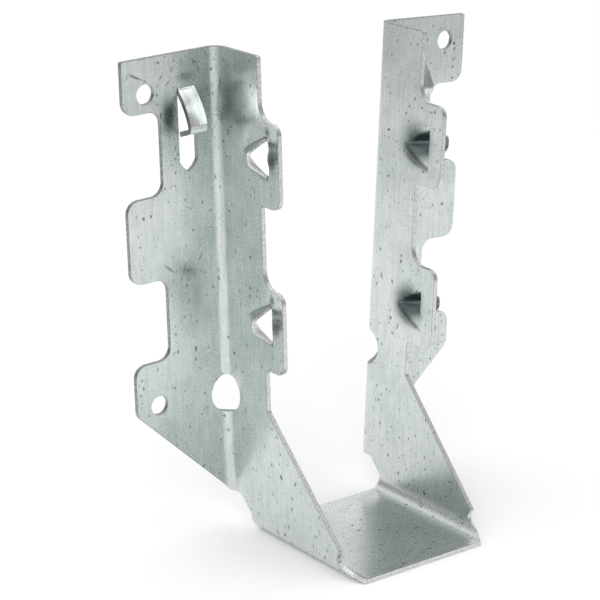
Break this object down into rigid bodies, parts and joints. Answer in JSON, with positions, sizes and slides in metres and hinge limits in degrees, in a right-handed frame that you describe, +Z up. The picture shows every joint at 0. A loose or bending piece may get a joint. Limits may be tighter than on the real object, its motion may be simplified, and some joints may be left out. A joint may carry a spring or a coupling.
{
  "type": "joist hanger",
  "caption": "Face-mount joist hanger folded from one galvanised sheet: seat, leaning side plates, notched nailing flanges, stamped nail domes and folded prongs.",
  "frame": {"origin": "middle of the seat's upper face, where the joist bears", "axes": "+X across the joist, -Y towards the room and away from the header, +Z up; the hanger stands on its seat"},
  "size_m": [0.104, 0.052, 0.1217],
  "materials": {
    "galvanised_sheet": "hot-dip galvanised, satin, lightly scratched"
  },
  "bodies": {
    "root": {"joist_hanger": "galvanised_sheet"}
  },
  "joints": []
}
